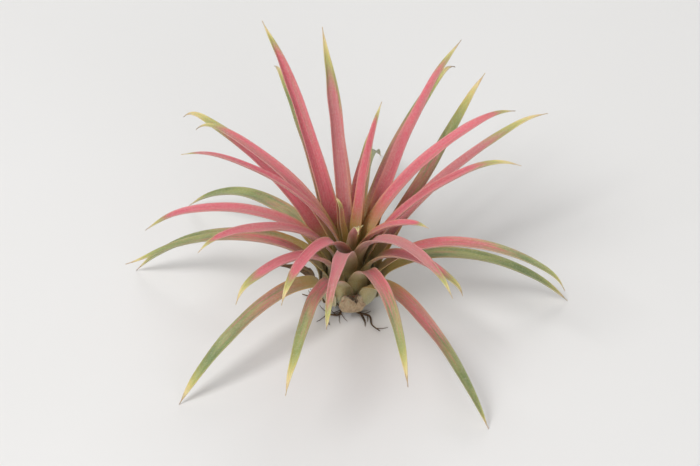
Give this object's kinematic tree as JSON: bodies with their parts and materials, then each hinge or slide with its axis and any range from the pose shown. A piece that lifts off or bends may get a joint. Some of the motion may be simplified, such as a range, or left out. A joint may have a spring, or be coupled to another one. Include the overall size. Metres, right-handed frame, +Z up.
{
  "type": "sky plant",
  "caption": "Red-flushed air plant: a rosette of narrow, arching, channelled leaves whose bases wrap into a small bulb on a short rooted stem.",
  "frame": {"origin": "middle of the stem's flat cut end, which rests on the surface", "axes": "+Z up through the heart of the rosette; -Y is the front, the side that the crown nods towards; +X is to the right seen from the front"},
  "size_m": [0.1488, 0.1512, 0.099],
  "materials": {
    "red_leaf": "matt, with a fine silvery bloom",
    "green_leaf": "matt, with a fine silvery bloom",
    "dry_leaf": "papery, matt",
    "bark": "rough, matt"
  },
  "bodies": {
    "root": {"leaf_01": "red_leaf", "leaf_02": "red_leaf", "leaf_03": "red_leaf", "leaf_04": "red_leaf", "leaf_05": "red_leaf", "leaf_06": "red_leaf", "leaf_07": "red_leaf", "leaf_08": "red_leaf", "leaf_09": "red_leaf", "leaf_10": "red_leaf", "leaf_11": "red_leaf", "leaf_12": "red_leaf", "leaf_13": "red_leaf", "leaf_14": "red_leaf", "leaf_15": "red_leaf", "leaf_16": "red_leaf", "leaf_17": "red_leaf", "leaf_18": "red_leaf", "leaf_19": "red_leaf", "leaf_20": "red_leaf", "leaf_21": "red_leaf", "leaf_22": "red_leaf", "leaf_23": "red_leaf", "leaf_24": "red_leaf", "leaf_25": "red_leaf", "leaf_26": "red_leaf", "leaf_27": "red_leaf", "leaf_28": "red_leaf", "leaf_29": "red_leaf", "leaf_30": "red_leaf", "leaf_31": "green_leaf", "leaf_32": "green_leaf", "leaf_33": "green_leaf", "leaf_34": "green_leaf", "leaf_35": "green_leaf", "leaf_36": "green_leaf", "dry_leaf_1": "dry_leaf", "dry_leaf_2": "dry_leaf", "dry_leaf_3": "dry_leaf", "rootstock": "bark"}
  },
  "joints": []
}
